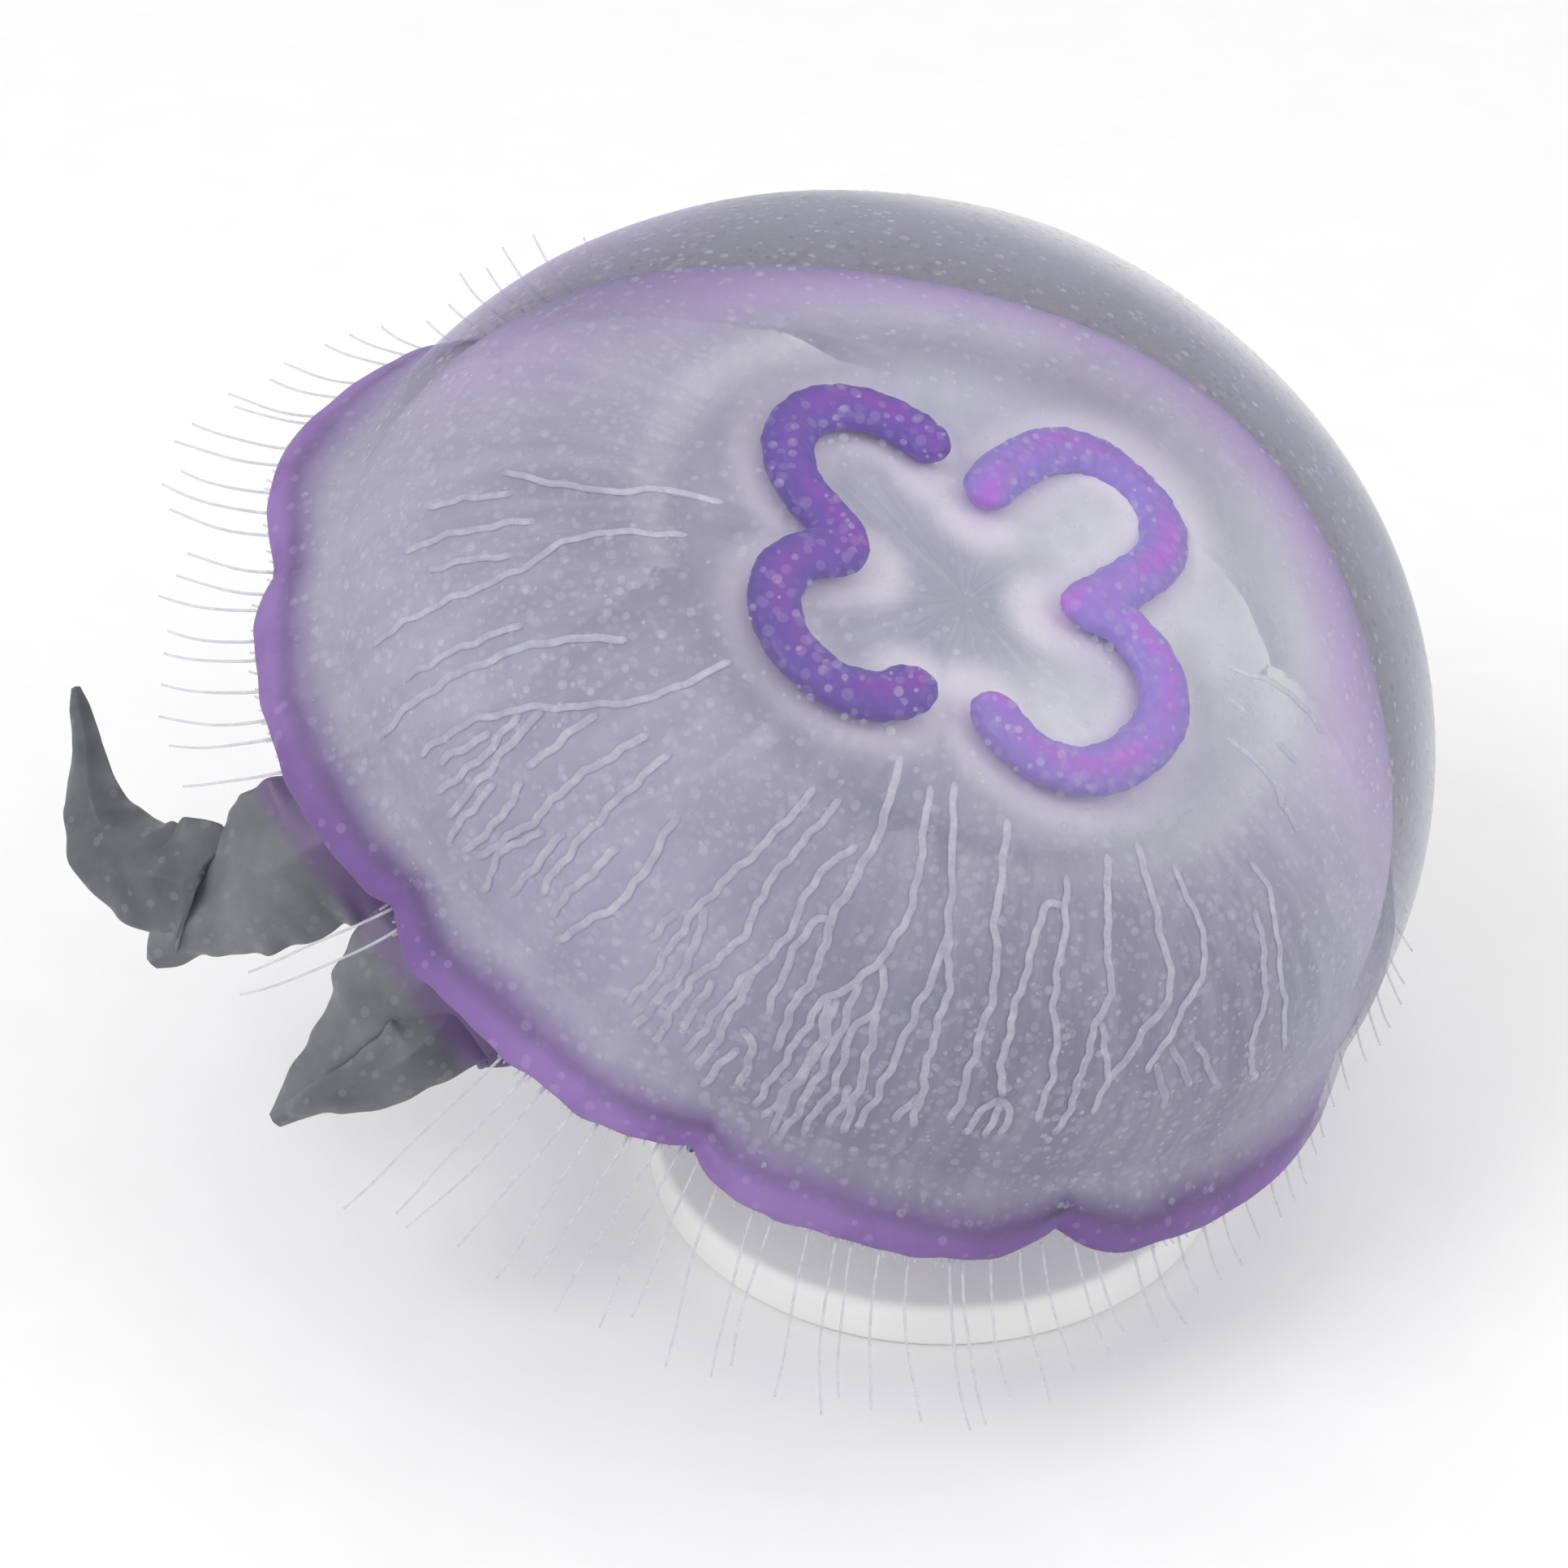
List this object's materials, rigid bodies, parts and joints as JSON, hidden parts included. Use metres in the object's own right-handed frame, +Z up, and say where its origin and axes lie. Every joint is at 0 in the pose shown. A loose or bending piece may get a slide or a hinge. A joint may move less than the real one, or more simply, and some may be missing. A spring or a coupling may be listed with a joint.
{
  "type": "moon jellyfish",
  "caption": "Life-size moon jellyfish with a domed bell, scalloped margin, fringe of tentacles, horseshoe gonads and trailing oral arms, on a rod and disc stand.",
  "frame": {"origin": "centre of the underside of the stand base", "axes": "+Z up; the viewer looks along +Y with +X to the right; the bell's crown leans towards +X and -Y"},
  "size_m": [0.3047, 0.2878, 0.229],
  "materials": {
    "bell_gel": "clear wet jelly, grey lilac, speckled with pale warts",
    "bell_margin": "wet purple lappets with a fringe of pale tentacles",
    "stomach_membrane": "thin pale wet membrane",
    "gonad": "ruffled violet tissue with magenta along its middle",
    "oral_arm": "soft grey folded lips, mottled",
    "sense_organ": "small dark club under a hood",
    "stand_white": "satin white moulded disc",
    "stand_steel": "polished round rod"
  },
  "bodies": {
    "root": {"bell_crown": "bell_gel", "bell_sector_1": "bell_gel", "bell_sector_2": "bell_gel", "bell_sector_3": "bell_gel", "bell_sector_4": "bell_gel", "bell_sector_5": "bell_gel", "bell_sector_6": "bell_gel", "bell_sector_7": "bell_gel", "bell_sector_8": "bell_gel", "margin_lobe_1": "bell_margin", "margin_lobe_2": "bell_margin", "margin_lobe_3": "bell_margin", "margin_lobe_4": "bell_margin", "margin_lobe_5": "bell_margin", "margin_lobe_6": "bell_margin", "margin_lobe_7": "bell_margin", "margin_lobe_8": "bell_margin", "stomach_floor": "stomach_membrane", "gonad_1": "gonad", "gonad_2": "gonad", "gonad_3": "gonad", "gonad_4": "gonad", "mouth_tube": "oral_arm", "oral_arm_1_base": "oral_arm", "oral_arm_1_middle": "oral_arm", "oral_arm_1_tip": "oral_arm", "oral_arm_2_base": "oral_arm", "oral_arm_2_middle": "oral_arm", "oral_arm_2_tip": "oral_arm", "oral_arm_3_base": "oral_arm", "oral_arm_3_middle": "oral_arm", "oral_arm_3_tip": "oral_arm", "oral_arm_4_base": "oral_arm", "oral_arm_4_middle": "oral_arm", "oral_arm_4_tip": "oral_arm", "rhopalium_1": "sense_organ", "rhopalium_2": "sense_organ", "rhopalium_3": "sense_organ", "rhopalium_4": "sense_organ", "rhopalium_5": "sense_organ", "rhopalium_6": "sense_organ", "rhopalium_7": "sense_organ", "rhopalium_8": "sense_organ", "stand_base": "stand_white", "stand_rod": "stand_steel", "stand_pad": "stand_steel"}
  },
  "joints": []
}
